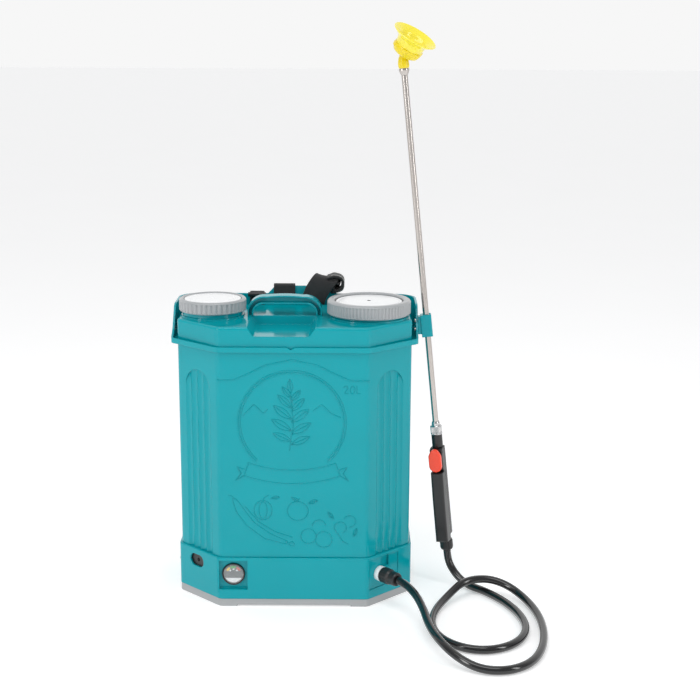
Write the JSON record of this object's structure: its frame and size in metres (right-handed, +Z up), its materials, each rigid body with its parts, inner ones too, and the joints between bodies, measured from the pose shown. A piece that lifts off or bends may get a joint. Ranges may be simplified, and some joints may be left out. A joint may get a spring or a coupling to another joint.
{
  "type": "backpack sprayer",
  "caption": "Battery backpack sprayer: ribbed teal tank on a pump base, two screw caps, handle tray, rim frame with straps, and a clipped lance with a trigger gun and hose.",
  "frame": {"origin": "middle of the base plate's underside", "axes": "+X to the wearer's left, -Y out of the front face, +Z up"},
  "size_m": [0.5601, 0.4533, 0.8673],
  "materials": {
    "teal_plastic": "glossy",
    "grey_plastic": "satin",
    "white_plastic": "glossy",
    "black_plastic": "satin",
    "printed_face": "satin",
    "circuit_board": "satin",
    "clear_plastic": "clear",
    "steel": "brushed",
    "nickel": "knurled",
    "brass": "satin",
    "red_plastic": "glossy",
    "yellow_plastic": "glossy",
    "rubber": "glossy",
    "webbing": "woven"
  },
  "bodies": {
    "tank": {"base_housing": "teal_plastic", "base_plate": "grey_plastic", "base_screws": "steel", "battery": "black_plastic", "battery_strap": "black_plastic", "carry_handle": "teal_plastic", "charging_socket": "black_plastic", "filler_basket": "white_plastic", "gauge_board": "circuit_board", "gauge_cup": "black_plastic", "gauge_face": "printed_face", "gauge_lens": "clear_plastic", "lance_clip": "teal_plastic", "lower_webbing": "webbing", "outlet_nut": "black_plastic", "outlet_seals": "rubber", "outlet_union": "white_plastic", "pressure_hose": "rubber", "pump_bracket": "rubber", "pump_head": "black_plastic", "pump_motor": "steel", "rim_fasteners": "steel", "rim_frame": "teal_plastic", "shoulder_strap_left": "webbing", "shoulder_strap_right": "webbing", "spray_hose": "rubber", "strap_bars": "steel", "strap_roller": "black_plastic", "strap_tail": "webbing", "suction_hose": "rubber", "switch_frame": "black_plastic", "tank_lid": "teal_plastic", "tank_outlet": "white_plastic", "tank_shell": "teal_plastic"},
    "wand": {"valve_body": "black_plastic", "valve_spring": "steel", "grip_pipe": "steel", "grip_front": "black_plastic", "grip_rear": "black_plastic", "grip_screws": "steel", "trigger_pin": "steel", "lance_tube": "steel", "lance_nut": "nickel", "gun_hose_nut": "black_plastic"},
    "trigger": {"trigger": "red_plastic"},
    "valve_stem": {"valve_stem": "brass"},
    "nozzle": {"nozzle_elbow": "yellow_plastic", "nozzle_core": "yellow_plastic"},
    "bell_collar": {"bell_seal": "rubber"},
    "bell": {"bell": "yellow_plastic", "bell_skirt": "yellow_plastic"},
    "big_cap_collar": {"big_gasket": "rubber"},
    "big_cap": {"big_cap": "grey_plastic", "big_cap_disc": "white_plastic"},
    "small_cap_collar": {"small_gasket": "rubber"},
    "small_cap": {"small_cap": "grey_plastic", "small_cap_disc": "white_plastic"},
    "power_rocker": {"power_rocker": "black_plastic"},
    "slider_left": {"slider_left": "black_plastic"},
    "slider_right": {"slider_right": "black_plastic"}
  },
  "joints": [
    {"name": "wand_unclip", "type": "slide", "parent": "tank", "child": "wand", "axis": [0.9945, 0, 0.105], "range_m": [0, 0.05]},
    {"name": "trigger_press", "type": "hinge", "parent": "wand", "child": "trigger", "pos_m": [0.21774, -0.01234, 0.2188], "axis": [0.9345, -0.342, 0.0987], "range_deg": [0, 6], "stiffness_Nm_per_rad": 0.6, "springref_deg": -8.59},
    {"name": "stem_push", "type": "slide", "parent": "wand", "child": "valve_stem", "axis": [0.3401, 0.9397, 0.0359], "range_m": [0, 0.0022], "deforming": ["valve_spring"]},
    {"name": "nozzle_swivel", "type": "hinge", "parent": "wand", "child": "nozzle", "pos_m": [0.15992, -0.002, 0.80196], "axis": [-0.105, 0, 0.9945], "range_deg": [-170, 170]},
    {"name": "bell_travel", "type": "slide", "parent": "nozzle", "child": "bell_collar", "axis": [0.4686, -0.3091, 0.8276], "range_m": [0, 0.0016]},
    {"name": "bell_turn", "type": "hinge", "parent": "bell_collar", "child": "bell", "pos_m": [0.15824, -0.002, 0.81787], "axis": [0.4686, -0.3091, 0.8276], "range_deg": [0, 180]},
    {"name": "big_cap_rise", "type": "slide", "parent": "tank", "child": "big_cap_collar", "axis": [0, 0, 1], "range_m": [0, 0.0051]},
    {"name": "big_cap_turn", "type": "hinge", "parent": "big_cap_collar", "child": "big_cap", "pos_m": [0.1117, -0.0102, 0.4386], "axis": [0, 0, 1], "range_deg": [0, 450]},
    {"name": "small_cap_rise", "type": "slide", "parent": "tank", "child": "small_cap_collar", "axis": [0, 0, 1], "range_m": [0, 0.0051]},
    {"name": "small_cap_turn", "type": "hinge", "parent": "small_cap_collar", "child": "small_cap", "pos_m": [-0.1253, -0.0062, 0.4418], "axis": [0, 0, 1], "range_deg": [0, 450]},
    {"name": "rocker_tilt", "type": "hinge", "parent": "tank", "child": "power_rocker", "pos_m": [-0.1785, 0, 0.046], "axis": [0, 1, 0], "range_deg": [-10, 0]},
    {"name": "slider_left_move", "type": "slide", "parent": "tank", "child": "slider_left", "axis": [0, 0, 1], "range_m": [-0.03, 0.03]},
    {"name": "slider_right_move", "type": "slide", "parent": "tank", "child": "slider_right", "axis": [0, 0, 1], "range_m": [-0.03, 0.03]}
  ],
  "couplings": [
    {"joint": "stem_push", "follows": "trigger_press", "m_per_rad": 0.019},
    {"joint": "bell_travel", "follows": "bell_turn", "m_per_rad": 0.00047746},
    {"joint": "big_cap_rise", "follows": "big_cap_turn", "m_per_rad": 0.00063662},
    {"joint": "small_cap_rise", "follows": "small_cap_turn", "m_per_rad": 0.00063662}
  ]
}
